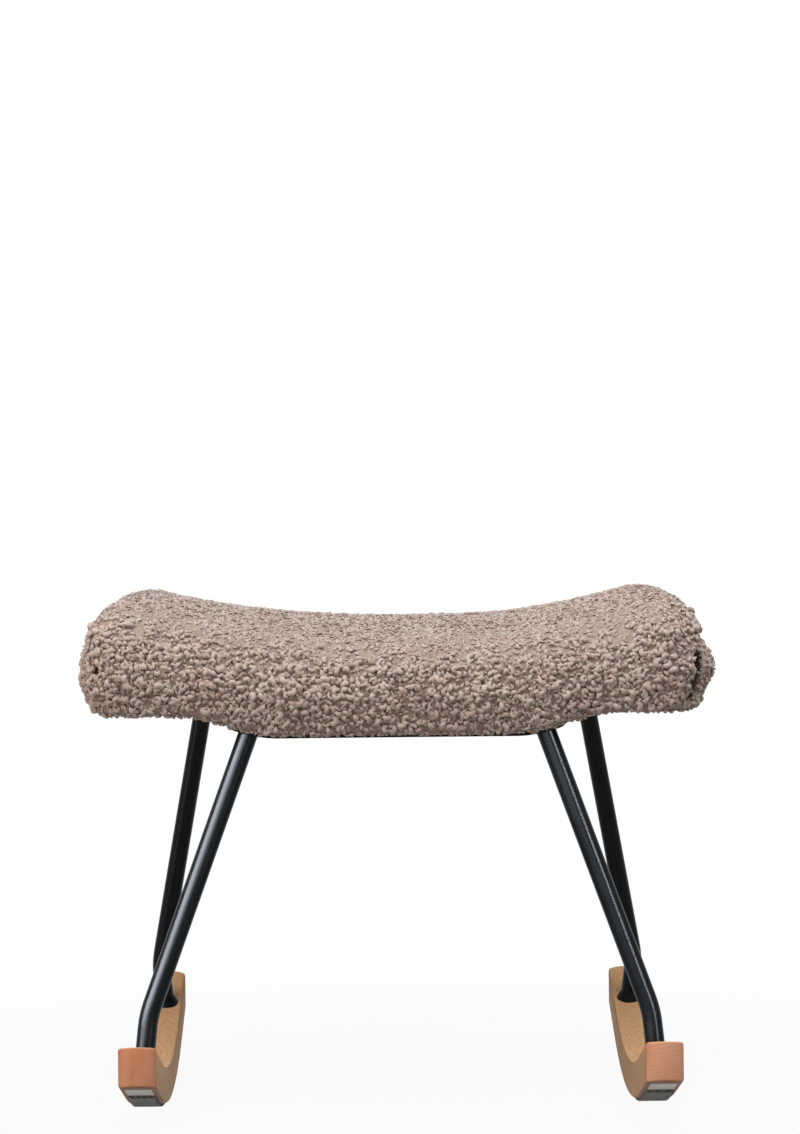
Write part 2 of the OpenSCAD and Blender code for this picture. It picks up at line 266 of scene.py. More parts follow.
# angle and radius of the centre line, and how far along it the arc and the bar end
def barForm(c):
    a = math.radians(c["angle"])
    core = c["arc"] - c["thick"] / 2
    turn = core * a
    end = turn + (c["length"] / 2 - core * math.sin(a)) / math.cos(a)
    return a, core, turn, end


# where a place of the straight bar goes: across, along and above its centre line
def bent(c, x, along, up):
    a, core, turn, end = barForm(c)
    nose = c["length"] / 2 - c["nose"] + math.sqrt(c["nose"] ** 2 - x * x)
    zone = end - c["noseZone"]
    far = abs(along)
    if far > zone:
        reach = turn + (nose - (core - up) * math.sin(a)) / math.cos(a)
        far = zone + (far - zone) / (end - zone) * (reach - zone)
    phi = min(far / core, a)
    rest = max(far - turn, 0)
    y = (core - up) * math.sin(phi) + rest * math.cos(a)
    z = c["low"] + c["arc"] - (core - up) * math.cos(phi) + rest * math.sin(a)
    return Vector((x, math.copysign(y, along), z))


# half a bar with rounded edges is drawn out from its section, mirrored, then bent to the arc
def makeRocker(side, c):
    a, core, turn, end = barForm(c)
    bpy.ops.mesh.primitive_grid_add(x_subdivisions=c["across"], y_subdivisions=1, size=1)
    rocker = bpy.context.object
    rocker.name = side + "RockerRounded"
    for v in rocker.data.vertices:
        v.co = Vector((v.co.x * c["width"], 0, v.co.y * c["thick"]))
    bpy.ops.object.mode_set(mode="EDIT")
    bpy.ops.mesh.select_all(action="DESELECT")
    bpy.ops.object.mode_set(mode="OBJECT")
    for v in rocker.data.vertices:
        v.select = abs(v.co.x) > 0.49 * c["width"]
    bpy.ops.object.mode_set(mode="EDIT")
    bpy.ops.mesh.bevel(offset=c["edge"], segments=c["edgeSteps"], affect="VERTICES")
    bpy.ops.mesh.select_all(action="SELECT")
    stops = [turn * (i + 1) / c["arcSteps"] for i in range(c["arcSteps"])]
    stops += [turn + (end - c["noseZone"] - turn) * (i + 1) / c["endSteps"]
              for i in range(c["endSteps"])]
    stops += [end - c["noseZone"] + (c["noseZone"] - c["rim"]) * (i + 1) / c["noseSteps"]
              for i in range(c["noseSteps"])]
    for before, after in zip([0] + stops, stops):
        bpy.ops.mesh.extrude_region_move(TRANSFORM_OT_translate={"value": (0, after - before, 0)})
    turns = [math.pi / 2 * i / c["edgeSteps"] for i in range(c["edgeSteps"] + 1)]
    for first, second in zip(turns, turns[1:]):
        bpy.ops.mesh.inset(thickness=c["rim"] * (math.cos(first) - math.cos(second)))
        bpy.ops.transform.translate(value=(0, c["rim"] * (math.sin(second) - math.sin(first)), 0))
    bpy.ops.mesh.select_all(action="DESELECT")
    bpy.ops.object.mode_set(mode="OBJECT")
    for face in rocker.data.polygons:
        face.select = all(abs(rocker.data.vertices[i].co.y) < 0.01 for i in face.vertices)
    bpy.ops.object.mode_set(mode="EDIT")
    bpy.ops.mesh.select_mode(type="FACE")
    bpy.ops.mesh.delete(type="FACE")
    bpy.ops.mesh.select_mode(type="VERT")
    bpy.ops.object.mode_set(mode="OBJECT")
    applyModifier(rocker, "MIRROR", use_axis=(False, True, False), merge_threshold=0.01)
    middle = c["middle"] if side == "right" else -c["middle"]
    for v in rocker.data.vertices:
        v.co = (bent(c, *v.co) + Vector((middle, 0, 0))) * mm
    only(rocker)
    bpy.ops.object.mode_set(mode="EDIT")
    bpy.ops.mesh.select_all(action="SELECT")
    bpy.ops.mesh.normals_make_consistent(inside=False)
    bpy.ops.object.mode_set(mode="OBJECT")
    bpy.ops.object.shade_smooth_by_angle(angle=math.radians(40))
    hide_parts(side + "_rocker")
    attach(rocker, "root")
    print(rocker.name, len(rocker.data.vertices), "vertices", [round(d, 4) for d in rocker.dimensions])
    return rocker


rockers = {side: makeRocker(side, rockerValues) for side in ("left", "right")}


# boucle seat

cushionValues = {
    "voxel": 6.0,
    "pressure": 4.0,
    "frames": 20,
    "cap": 2.5,  # the most that the pressure may move a place
    "bottom": 361.1,
    "rise": 19.0,
    "flat": 110.0,
    "run": 92.0,
    "middle": 405.0,
    "upperRun": 45.0,  # the upper part comes in over this height above the middle
    # a run gives where a change starts and over how many mm it comes; tops and lifts are left, right
    "ends": 4.5,
    "endRun": (190.0, 90.0),
    "endTops": (-3.0, -8.5),
    "endLift": 3.0,
    "liftRun": (150.0, 110.0),
    "cornerLifts": (2.0, 4.5),
    "cornerRun": (232.0, 30.0),
    "flap": 5.5,
    "flapAt": 421.0,
    "flapHigh": 11.0,
    "flapRun": (225.0, 40.0),
    "flapFront": (40.0, 70.0),
    "dipAt": 110.0,
    "dipWide": 60.0,
    "dip": 2.5,
    "edgeHigh": 21.0,  # this much of the lower edge is rolled round the board
    "edgeFrom": (240.0, 155.0),
    "corner": (244.0, 156.0),
    "tucks": [
        {"side": 1, "from": 386.0, "to": 436.0, "depth": 24.0, "half": 6.5, "angle": 51},
        {"side": -1, "from": 412.0, "to": 434.0, "depth": 9.0, "half": 4.5, "angle": 45},
    ],
    "tuckTurn": 0.003,  # how the tuck leans, in radians for each mm of height
    "tuckFade": 9.0,
    "tuckWall": 0.6,
    "clump": 9.5,
    "clumpHigh": 3.4,
    "clumpLoss": 0.85,  # how much lower the clumps are on the top
    "clumpMiddle": 0.35,
    "pucker": 1.5,
    "puckerTop": 392.0,
    "puckerHigh": 22.0,
    "puckerEnds": (150.0, 90.0),
    "puckerSides": (80.0, 70.0),
    "puckerLeast": 0.3,
    "puckerReach": 90.0,
    # the gathers are two waves over each other, in radians for each mm
    "waveX": (0.46, 0.23),
    "waveY": 0.39,
    "waveShift": 1.7,
    "waveShare": 0.6,
    "smooth": 6,
    "edgeSmooth": 50,
}

looksDown = -0.6  # a place whose normal has less z than this belongs to the underside
looksUp = 0.6  # and one with more than this to the top
flatRun = (0.35, 0.5)  # over which z of the normal the pile goes from raised to pressed


def keepLargest(piece):
    only(piece)
    bpy.ops.object.mode_set(mode="EDIT")
    bpy.ops.mesh.select_all(action="SELECT")
    bpy.ops.mesh.separate(type="LOOSE")
    bpy.ops.object.mode_set(mode="OBJECT")
    parts = sorted(bpy.context.selected_objects, key=lambda o: -len(o.data.vertices))
    for extra in parts[1:]:
        bpy.data.objects.remove(extra)
    return parts[0]


def underside(c, x):
    t = min(max((abs(x) / mm - c["flat"]) / c["run"], 0), 1)
    return (c["bottom"] + c["rise"] * t * t * (3 - 2 * t)) * mm


def step(t):
    t = min(max(t, 0), 1)
    return t * t * (3 - 2 * t)


def ramp(value, run):
    return step((value - run[0]) / run[1])


# 0 on the sides of the cushion and 1 on its flattened top
def topShare(up):
    return ramp(up, flatRun)


# the ends stand a little fuller than the plain form, most of all at their tops
def plump(c, co):
    x, z = abs(co.x) / mm, co.z / mm
    right = co.x > 0
    upper = step((z - c["middle"]) / c["upperRun"])
    outward = ramp(x, c["endRun"]) * (c["ends"] + c["endTops"][right] * upper)
    corner = ramp(x, c["cornerRun"]) * c["cornerLifts"][right]
    lift = (ramp(x, c["liftRun"]) * c["endLift"] + corner) * upper
    if right:  # the flap of the folded corner stands proud
        flap = c["flap"] * math.exp(-((z - c["flapAt"]) / c["flapHigh"]) ** 2)
        outward += flap * ramp(x, c["flapRun"]) * ramp(-co.y / mm, c["flapFront"])
    dip = c["dip"] * math.exp(-((co.x / mm - c["dipAt"]) / c["dipWide"]) ** 2) * upper
    return Vector((co.x + math.copysign(1, co.x) * outward * mm, co.y, co.z + (lift - dip) * mm))


# how deep a place lies in the tuck at a front corner, where the cover is folded over itself
def tuckShare(t, c, co):
    x, y, z = co.x / mm * t["side"] - c["corner"][0], co.y / mm + c["corner"][1], co.z / mm
    if x < 0 or y > 0:
        return 0
    angle = math.atan2(y, x) + math.radians(t["angle"]) - c["tuckTurn"] * (z - t["from"])
    across = math.hypot(x, y) * angle
    along = step((z - t["from"]) / c["tuckFade"]) * step((t["to"] - z) / c["tuckFade"])
    return step((t["half"] - abs(across)) / (c["tuckWall"] * t["half"])) * along


def fold(c, co):
    cornerX, cornerY = c["corner"]
    centre = Vector((math.copysign(cornerX, co.x) * mm, math.copysign(cornerY, co.y) * mm, co.z))
    inward = centre - co
    away = inward.length
    for t in c["tucks"]:
        co = co + Vector((0, t["depth"] * mm * tuckShare(t, c, co), 0))
    # gathers at the lower edge, strongest at the corners
    x, y = co.x / mm, co.y / mm
    low = step((c["puckerTop"] - co.z / mm) / c["puckerHigh"])
    near = ramp(abs(x), c["puckerEnds"]) * ramp(abs(y), c["puckerSides"])
    first = math.sin(x * c["waveX"][0] - y * c["waveY"])
    wave = first + c["waveShare"] * math.sin(x * c["waveX"][1] + c["waveShift"])
    if away < c["puckerReach"] * mm:
        co = co - inward.normalized() * c["pucker"] * mm * wave * low * (c["puckerLeast"] + near)
    return co


def makeCushion(c):
    foam = copyOf("seat_foam", "cushion")
    board = copyOf("seat_board", "boardCopy")
    only(foam)
    board.select_set(True)
    bpy.ops.object.join()
    cushion = bpy.context.object
    applyModifier(cushion, "REMESH", mode="VOXEL", voxel_size=c["voxel"] * mm)
    cushion = keepLargest(cushion)
    cushion.name = "cushion"
    applyModifier(cushion, "SMOOTH", factor=0.5, iterations=c["smooth"])
    mesh = cushion.data
    below = [v.index for v in mesh.vertices if v.normal.z < looksDown]
    cushion.vertex_groups.new(name="pinned").add(below, 1.0, "REPLACE")
    before = [v.co.copy() for v in mesh.vertices]
    only(cushion)
    cloth = cushion.modifiers.new("inflate", "CLOTH")
    cloth.settings.use_pressure = True
    cloth.settings.uniform_pressure_force = c["pressure"]
    cloth.settings.vertex_group_mass = "pinned"
    cloth.settings.effector_weights.gravity = 0
    for f in range(1, c["frames"] + 1):
        bpy.context.scene.frame_set(f)
    bpy.ops.object.modifier_apply(modifier=cloth.name)
    mesh = cushion.data
    for v, start in zip(mesh.vertices, before):
        move = v.co - start
        if move.length > c["cap"] * mm:
            v.co = start + move.normalized() * c["cap"] * mm
    for v in mesh.vertices:
        v.co = plump(c, v.co)
    for i in below:
        mesh.vertices[i].co.z = underside(c, mesh.vertices[i].co.x)
    applyModifier(cushion, "SUBSURF", levels=1, render_levels=1)
    # the lower edge is rolled round the board
    edgeX, edgeY = c["edgeFrom"]
    low = [v.index for v in cushion.data.vertices
           if v.co.z < underside(c, v.co.x) + c["edgeHigh"] * mm
           and (abs(v.co.x) > edgeX * mm or abs(v.co.y) > edgeY * mm)]
    cushion.vertex_groups.new(name="lowEdge").add(low, 1.0, "REPLACE")
    applyModifier(cushion, "SMOOTH", factor=0.5, iterations=c["edgeSmooth"], vertex_group="lowEdge")
    tucked = cushion.vertex_groups.new(name="tucked")
    for v in cushion.data.vertices:
        tucked.add([v.index], max(tuckShare(t, c, v.co) for t in c["tucks"]), "REPLACE")
    facing = [v.normal.z for v in cushion.data.vertices]
    for v, up in zip(cushion.data.vertices, facing):
        if up > looksDown:
            v.co = fold(c, v.co)
    # the loops stand in clumps, higher round the sides than on the flattened top
    clumps = bpy.data.textures.new("clumps", "VORONOI")
    clumps.noise_scale = c["clump"] * mm
    clumps.distance_metric = "DISTANCE_SQUARED"
    sides = cushion.vertex_groups.new(name="sides")
    for v, up in zip(cushion.data.vertices, facing):
        if up > looksDown:
            sides.add([v.index], 1.0 - c["clumpLoss"] * topShare(up), "REPLACE")
    applyModifier(cushion, "DISPLACE", texture=clumps, texture_coords="LOCAL", vertex_group="sides",
                  strength=-c["clumpHigh"] * mm, mid_level=c["clumpMiddle"])
    only(cushion)
    bpy.ops.object.shade_smooth()
    return cushion


cushion = makeCushion(cushionValues)
print("cushion:", len(cushion.data.vertices), "vertices")

# the curls of the pile: each is a short loop of yarn, spun once and copied over the cushion
curlValues = {
    "shapes": [
        {"loop": 1.7, "yarn": 2.5, "sweep": 230, "steps": 6, "inward": 0.2, "lift": 0.9},
        {"loop": 2.1, "yarn": 2.3, "sweep": 270, "steps": 7, "inward": 0.3, "lift": 1.1},
        {"loop": 2.5, "yarn": 2.1, "sweep": 300, "steps": 8, "inward": 0.45, "lift": 1.3},
        {"loop": 2.3, "yarn": 1.9, "sweep": 330, "steps": 8, "inward": 0.6, "lift": 1.6},
        {"loop": 3.0, "yarn": 2.1, "sweep": 170, "steps": 6, "inward": 0.2, "lift": 0.8},
        {"loop": 1.6, "yarn": 2.7, "sweep": 200, "steps": 5, "inward": 0.4, "lift": 1.2},
    ],
    "sides": 5,
    "gap": 3.65,  # the least distance between two curls
    "topGap": 3.1,
    "pressed": 0.74,  # how much lower the curls are on the top
    "most": 250000,
    "above": 0.4,
    "lumps": 0.2,
    "least": 0.75,
    "largest": 1.3,
    "tilt": 0.6,
    "seed": 7,
    "sideSize": 1.06,
    "topLoss": 0.32,
    "underSize": 0.72,
    "flapSize": 0.55,
    "flapFrom": (272.0, -180.0, 390.0),
    "flapTo": (330.0, -130.0, 440.0),
    "dustCover": (257.0, 169.0),  # no curls under the dust cover
    "tuckClear": 0.15,
    "thinEnds": 0.55,
    # the top's five regions are this wide, counted from this far left of the middle
    "topFrom": 285.0,
    "topWide": 114.0,
    "sidesFrom": 150.0,
}


def makeCurl(name, s, c):
    bpy.ops.mesh.primitive_circle_add(vertices=c["sides"], radius=s["yarn"] * mm,
                                      location=(s["loop"] * mm, 0, 0), rotation=(math.pi / 2, 0, 0))
    curl = bpy.context.object
    curl.name = name
    bpy.ops.object.transform_apply(location=True, rotation=True)
    sweep = math.radians(s["sweep"])
    bpy.ops.object.mode_set(mode="EDIT")
    bpy.ops.mesh.select_all(action="SELECT")
    bpy.ops.mesh.spin(steps=s["steps"], angle=sweep, center=(0, 0, 0), axis=(0, 0, 1))
    bpy.ops.mesh.select_all(action="SELECT")
    bpy.ops.mesh.fill_holes(sides=0)
    bpy.ops.mesh.normals_make_consistent(inside=False)
    bpy.ops.object.mode_set(mode="OBJECT")
    lumpy = random.Random(name)
    for v in curl.data.vertices:  # thin ends, rolled inwards and lifted in the middle
        a = math.atan2(v.co.y, v.co.x) % math.tau
        t = min(a / sweep, 1)
        core = Vector((math.cos(a), math.sin(a), 0)) * s["loop"] * mm
        wide = 1 if 0.01 < t < 0.99 else c["thinEnds"]
        at = core * (1 - s["inward"] * t)
        at.z = (c["above"] + s["lift"] * math.sin(math.pi * t)) * mm
        v.co = at + (v.co - core) * wide * (1 + lumpy.uniform(-c["lumps"], c["lumps"]))
    only(curl)
    bpy.ops.object.shade_smooth()
    return curl


pileAttributes = ("pileHere", "pileSize", "pileHeight")


def makeScatter(c, shapes, gap):
    tree = bpy.data.node_groups.new("scatterCurls", "GeometryNodeTree")
    tree.interface.new_socket("Geometry", in_out="INPUT", socket_type="NodeSocketGeometry")
    tree.interface.new_socket("Geometry", in_out="OUTPUT", socket_type="NodeSocketGeometry")
    base = addNode(tree, "NodeGroupInput")
    here, size, height = [
        addNode(tree, "GeometryNodeInputNamedAttribute", {"data_type": "FLOAT", "Name": name})
        for name in pileAttributes
    ]
    points = addNode(tree, "GeometryNodeDistributePointsOnFaces",
                     {"distribute_method": "POISSON", "Distance Min": gap * mm,
                      "Density Max": c["most"], "Seed": c["seed"]},
                     {"Mesh": base.outputs[0], "Density Factor": here.outputs[0]})
    spin = addNode(tree, "FunctionNodeRandomValue",
                   {"data_type": "FLOAT_VECTOR", 0: (-c["tilt"], -c["tilt"], 0),
                    1: (c["tilt"], c["tilt"], math.tau), "Seed": 1})
    asTurn = addNode(tree, "FunctionNodeEulerToRotation", None, {0: spin.outputs[0]})
    turned = addNode(tree, "FunctionNodeRotateRotation", {"rotation_space": "LOCAL"},
                     {"Rotation": points.outputs["Rotation"], "Rotate By": asTurn.outputs[0]})
    grow = addNode(tree, "FunctionNodeRandomValue",
                   {"data_type": "FLOAT", 2: c["least"], 3: c["largest"], "Seed": 2})
    scale = addNode(tree, "ShaderNodeMath", {"operation": "MULTIPLY"},
                    {0: grow.outputs[1], 1: size.outputs[0]})
    pressed = addNode(tree, "ShaderNodeCombineXYZ", {0: 1.0, 1: 1.0}, {2: height.outputs[0]})
    scales = addNode(tree, "ShaderNodeVectorMath", {"operation": "SCALE"},
                     {0: pressed.outputs[0], "Scale": scale.outputs[0]})
    which = addNode(tree, "FunctionNodeRandomValue",
                    {"data_type": "INT", 4: 0, 5: len(c["shapes"]) - 1, "Seed": 3})
    curls = addNode(tree, "GeometryNodeCollectionInfo",
                    {"Collection": shapes, "Separate Children": True, "Reset Children": True})
    placed = addNode(tree, "GeometryNodeInstanceOnPoints", {"Pick Instance": True},
                     {"Points": points.outputs["Points"], "Instance": curls.outputs[0],
                      "Instance Index": which.outputs[2], "Rotation": turned.outputs[0],
                      "Scale": scales.outputs[0]})
    shade = addNode(tree, "FunctionNodeRandomValue", {"data_type": "FLOAT", "Seed": 4})
    toned = addNode(tree, "GeometryNodeStoreNamedAttribute",
                    {"data_type": "FLOAT", "domain": "INSTANCE", "Name": "yarnTone"},
                    {"Geometry": placed.outputs[0], "Value": shade.outputs[1]})
    real = addNode(tree, "GeometryNodeRealizeInstances", None, {"Geometry": toned.outputs[0]})
    addNode(tree, "NodeGroupOutput", None, {0: real.outputs[0]})
    return tree


topRegions = ["pileTopLeftEnd", "pileTopLeft", "pileTopMiddle", "pileTopRight", "pileTopRightEnd"]
pileRegions = topRegions + ["pileFront", "pileBack", "pileLeft", "pileRight", "pileUnder"]


def pileRegion(c, co, normal):
    if normal.z < looksDown:
        return "pileUnder"
    if normal.z > looksUp:
        which = int((co.x + c["topFrom"] * mm) / (c["topWide"] * mm))
        return topRegions[min(max(which, 0), len(topRegions) - 1)]
    if abs(co.y) > c["sidesFrom"] * mm:
        return "pileFront" if co.y < 0 else "pileBack"
    return "pileLeft" if co.x < 0 else "pileRight"


# the loops are pressed flat on the top, and on the flap that covers the right tuck
def curlSize(c, name, co, normal):
    if all(low < at / mm < high for low, at, high in zip(c["flapFrom"], co, c["flapTo"])):
        return c["flapSize"]
    if name == "pileUnder":
        return c["underSize"]
    return c["sideSize"] - c["topLoss"] * topShare(normal.z)


def makePile(c, cushion):
    shapes = bpy.data.collections.new("curlShapes")
    bpy.context.scene.collection.children.link(shapes)
    for i, s in enumerate(c["shapes"]):
        curl = makeCurl("curl%d" % i, s, c)
        for home in list(curl.users_collection):
            home.objects.unlink(curl)
        shapes.objects.link(curl)
    trees = [makeScatter(c, shapes, c["gap"]), makeScatter(c, shapes, c["topGap"])]
    region = [pileRegion(c, v.co, v.normal) for v in cushion.data.vertices]
    tucked = cushion.vertex_groups["tucked"]
    coverX, coverY = c["dustCover"]
    piles = []
    for name in pileRegions:
        pile = cushion.copy()
        pile.data = cushion.data.copy()
        pile.name = name
        bpy.context.scene.collection.objects.link(pile)
        for each in pileAttributes:
            pile.data.attributes.new(each, "FLOAT", "POINT")
        here, size, height = [pile.data.attributes[each] for each in pileAttributes]
        for v, place in zip(pile.data.vertices, region):
            if place != name:
                continue
            clear = name != "pileUnder" or abs(v.co.x) > coverX * mm or abs(v.co.y) > coverY * mm
            here.data[v.index].value = float(clear and tucked.weight(v.index) < c["tuckClear"])
            size.data[v.index].value = curlSize(c, name, v.co, v.normal)
            height.data[v.index].value = 1 - c["pressed"] * topShare(v.normal.z)
        applyModifier(pile, "NODES", node_group=trees[name in topRegions])
        piles.append(pile)
    for curl in list(shapes.objects):
        bpy.data.objects.remove(curl)
    bpy.data.collections.remove(shapes)
    return piles


piles = makePile(curlValues, cushion)
for pile in piles:
    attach(pile, "root")
    print(pile.name, sum(len(p.vertices) - 2 for p in pile.data.polygons), "triangles")

# the plywood lies inside the rolled lower edge of the cushion
boardValues = {"depthShare": 0.95, "rise": 1.0}


def makeBoard(c):
    board = copyOf("seat_board", "boardInside")
    for v in board.data.vertices:
        v.co = Vector((v.co.x, v.co.y * c["depthShare"], v.co.z + c["rise"] * mm))
    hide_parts("seat_board")
    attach(board, "root")


makeBoard(boardValues)

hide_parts("seat_cover", "seat_foam")
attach(cushion, "root")


# finishes

def newMaterial(name, **values):
    material = bpy.data.materials.new(name)
    material.use_nodes = True
    tree = material.node_tree
    tree.nodes.clear()
    shader = addNode(tree, "ShaderNodeBsdfPrincipled", values)
    addNode(tree, "ShaderNodeOutputMaterial", None, {"Surface": shader.outputs[0]})
    return material, tree, shader


def objectPlace(tree, scale=(1, 1, 1), shift=(0, 0, 0)):
    place = addNode(tree, "ShaderNodeTexCoord")
    mapped = addNode(tree, "ShaderNodeMapping", {"Scale": scale, "Location": shift},
                     {"Vector": place.outputs["Object"]})
    return mapped.outputs[0]


def finish(tree, shader, colour=None, rough=None, height=None, depth=0.1, strength=1.0):
    if colour:
        tree.links.new(colour, shader.inputs["Base Color"])
    if rough:
        tree.links.new(rough, shader.inputs["Roughness"])
    if height:
        bump = addNode(tree, "ShaderNodeBump", {"Strength": strength, "Distance": depth * mm},
                       {"Height": height})
        tree.links.new(bump.outputs[0], shader.inputs["Normal"])


def blend(tree, share, first, second):
    links = {0: share}
    fixed = {"data_type": "RGBA"}
    for socket, colour in ((6, first), (7, second)):
        if isinstance(colour, str):
            fixed[socket] = linear(colour)
        else:
            links[socket] = colour
    return addNode(tree, "ShaderNodeMix", fixed, links).outputs[2]


def between(tree, value, low, high, toLow=0.0, toHigh=1.0):
    return addNode(tree, "ShaderNodeMapRange", {"From Min": low, "From Max": high, "To Min": toLow,
                                                "To Max": toHigh}, {"Value": value}).outputs[0]


waveScale = 314  # a wave texture repeats every 314 mm / its scale


def paint(names, material):
    for name in names:
        piece = bpy.data.objects[name]
        piece.data.materials.clear()
        piece.data.materials.append(material)


# boucle: wool and polyester yarn, looped and steamed, so it is matt with soft bright edges
wool = {"light": "#bea798", "dark": "#ae9384", "rose": "#b69385", "rough": 0.95}


def makeWool(w):
    material, tree, shader = newMaterial("looped wool yarn", **{
        "Roughness": w["rough"], "Sheen Weight": 0.25, "Sheen Roughness": 0.5,
        "Specular IOR Level": 0.2})
    place = objectPlace(tree)
    patches = addNode(tree, "ShaderNodeTexNoise", {"Scale": 22.0, "Detail": 2.0}, {"Vector": place})
    rosy = addNode(tree, "ShaderNodeTexNoise", {"Scale": 60.0, "Detail": 1.0}, {"Vector": place})
    tone = addNode(tree, "ShaderNodeAttribute", {"attribute_name": "yarnTone"})
    both = addNode(tree, "ShaderNodeMath", {"operation": "MULTIPLY_ADD", 1: 0.5},
                   {0: tone.outputs["Fac"], 2: patches.outputs[0]})
    colour = blend(tree, between(tree, both.outputs[0], 0.35, 1.15), w["dark"], w["light"])
    colour = blend(tree, between(tree, rosy.outputs[0], 0.55, 0.75, 0, 0.6), colour, w["rose"])
    fibre = addNode(tree, "ShaderNodeTexNoise", {"Scale": 620.0, "Detail": 5.0, "Roughness": 0.65},
                    {"Vector": place})
    finish(tree, shader, colour, None, fibre.outputs[0], 0.45, 0.4)
    return material


# the knitted ground under the loops, seen only in the gaps between them; its colour is darker than the
# yarn, as painted shade in those gaps
def makeBacking(w):
    material, tree, shader = newMaterial("knitted wool ground with painted gap shade", **{
        "Roughness": w["rough"], "Specular IOR Level": 0.1})
    knots = addNode(tree, "ShaderNodeTexVoronoi", {"feature": "SMOOTH_F1", "Scale": 260.0},
                    {"Vector": objectPlace(tree)})
    # painted shade: the ground is darker than the yarn, and darker still towards the sunken edges of
    # each knot
    colour = blend(tree, between(tree, knots.outputs[0], 0.1, 0.8), "#ab9284", "#8f786b")
    lifted = between(tree, knots.outputs[0], 0.0, 1.0, 1.0, 0.0)
    finish(tree, shader, colour, None, lifted, 2.0)
    return material


paint([pile.name for pile in piles], makeWool(wool))
paint(["cushion"], makeBacking(wool))

# powder-coated steel: a satin black skin that flows before it sets, with a faint orange peel
coat = {"colour": "#050607", "other": "#090a0c", "peel": 1.4}


def makePowderCoat(c):
    material, tree, shader = newMaterial("black powder-coated steel", **{"Specular IOR Level": 0.09})
    place = objectPlace(tree)
    cloud = addNode(tree, "ShaderNodeTexNoise", {"Scale": 30.0, "Detail": 3.0}, {"Vector": place})
    peel = addNode(tree, "ShaderNodeTexNoise", {"Scale": 1000 / c["peel"], "Detail": 1.0},
                   {"Vector": place})
    finish(tree, shader, blend(tree, cloud.outputs[0], c["colour"], c["other"]),
           between(tree, cloud.outputs[0], 0.3, 0.7, 0.25, 0.31), peel.outputs[0], 0.005, 0.12)
    return material


powderCoat = makePowderCoat(coat)
paint(["front_left_leg", "front_right_leg", "rear_left_leg", "rear_right_leg",
       "front_mount_bar", "rear_mount_bar"], powderCoat)

# collars: moulded ABS, a dull black with the fine spark texture of its mould
def makeMoulded(name, colour, grit):
    material, tree, shader = newMaterial(name, **{"Roughness": 0.5, "Specular IOR Level": 0.07})
    place = objectPlace(tree)
    spark = addNode(tree, "ShaderNodeTexNoise", {"Scale": 1000 / grit, "Detail": 2.0}, {"Vector": place})
    colour = blend(tree, spark.outputs[0], colour, "#0e0e10")
    finish(tree, shader, colour, None, spark.outputs[0], 0.05, 0.6)
    return material


paint(["front_left_collar", "front_right_collar", "rear_left_collar", "rear_right_collar"],
      makeMoulded("black moulded ABS", "#08080a", 0.5))

# steel parts: bright zinc plating, yellow-grey on the tee nuts, black oxide on the seat screws
def makeMetal(name, colour, other, rough, metallic):
    material, tree, shader = newMaterial(name, **{"Metallic": metallic})
    place = objectPlace(tree)
    cloud = addNode(tree, "ShaderNodeTexNoise", {"Scale": 260.0, "Detail": 4.0}, {"Vector": place})
    colour = blend(tree, cloud.outputs[0], colour, other)
    worn = between(tree, cloud.outputs[0], 0.3, 0.7, rough - 0.08, rough + 0.08)
    finish(tree, shader, colour, worn, cloud.outputs[0], 0.02, 0.4)
    return material


paint(["cover_staples", "leg_inserts", "rocker_screws"],
      makeMetal("bright zinc-plated steel", "#b9bcc0", "#9da1a6", 0.32, 1.0))
paint(["tee_nuts"], makeMetal("yellow zinc-plated steel", "#c9c09a", "#b5a97e", 0.38, 1.0))
paint(["seat_screws"], makeMetal("black oxide steel", "#2b2b2d", "#1d1d1f", 0.42, 0.6))

# dust cover: spunbonded polypropylene, pressed with a grid of small dots
def makeSpunbond():
    material, tree, shader = newMaterial("black spunbond cloth", **{
        "Roughness": 0.9, "Specular IOR Level": 0.2})
    place = objectPlace(tree)
    dots = addNode(tree, "ShaderNodeTexVoronoi", {"Scale": 620.0, "Randomness": 0.15}, {"Vector": place})
    fluff = addNode(tree, "ShaderNodeTexNoise", {"Scale": 140.0, "Detail": 5.0}, {"Vector": place})
    pressed = between(tree, dots.outputs[0], 0.2, 0.45)
    colour = blend(tree, fluff.outputs[0], "#17171a", "#2a2a2d")
    finish(tree, shader, blend(tree, pressed, "#101012", colour), None, pressed, 0.15)
    return material


paint(["dust_cover"], makeSpunbond())

# glide strips: pressed wool felt, dark grey with light specks of fibre
def makeFelt():
    material, tree, shader = newMaterial("pressed grey felt", **{
        "Roughness": 1.0, "Specular IOR Level": 0.1, "Sheen Weight": 0.3})
    specks = addNode(tree, "ShaderNodeTexNoise", {"Scale": 900.0, "Detail": 3.0},
                     {"Vector": objectPlace(tree)})
    colour = blend(tree, between(tree, specks.outputs[0], 0.38, 0.66), "#3b3835", "#8d8780")
    finish(tree, shader, colour, None, specks.outputs[0], 0.4)
    return material


paint(["left_glide_strip", "right_glide_strip"], makeFelt())

# end tabs: plain coated paper
def makeTab():
    material, tree, shader = newMaterial("plain coated paper", **{"Roughness": 0.55})
    cloud = addNode(tree, "ShaderNodeTexNoise", {"Scale": 300.0, "Detail": 5.0},
                    {"Vector": objectPlace(tree)})
    colour = blend(tree, cloud.outputs[0], "#b5a79d", "#c9bdb4")
    finish(tree, shader, colour, None, cloud.outputs[0], 0.03)
    return material


paint(["end_tabs"], makeTab())

